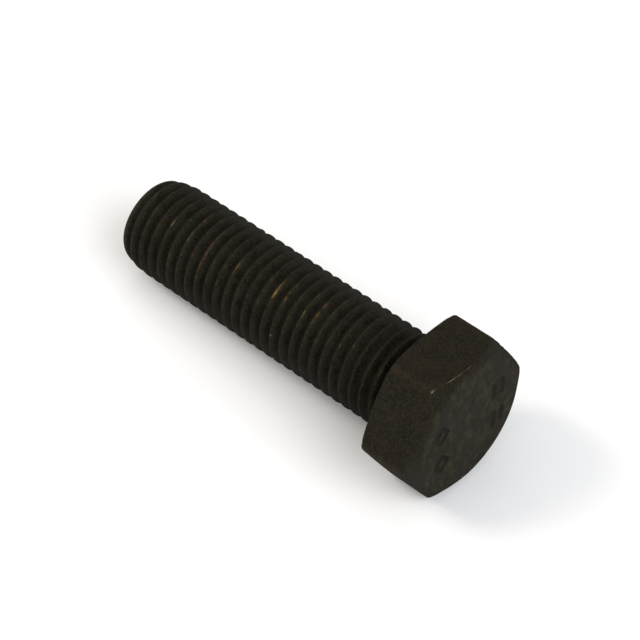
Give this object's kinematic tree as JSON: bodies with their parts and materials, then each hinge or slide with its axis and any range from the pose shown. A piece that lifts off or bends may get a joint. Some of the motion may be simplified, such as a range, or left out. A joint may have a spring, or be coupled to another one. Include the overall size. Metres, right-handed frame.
{
  "type": "hex bolt",
  "caption": "Black-finished steel hex bolt, threaded up to its chamfered hexagon head, with a rolled tip.",
  "frame": {"origin": "on the bolt's axis, at the bearing plane under the head", "axes": "+X along the thread to the tip, with the head towards -X; +Z square to one flat of the head"},
  "size_m": [0.0653, 0.0272, 0.0238],
  "materials": {
    "black_steel": "black oxide, oiled, worn to bare metal on crests and corners"
  },
  "bodies": {
    "root": {"hex_bolt": "black_steel"}
  },
  "joints": []
}
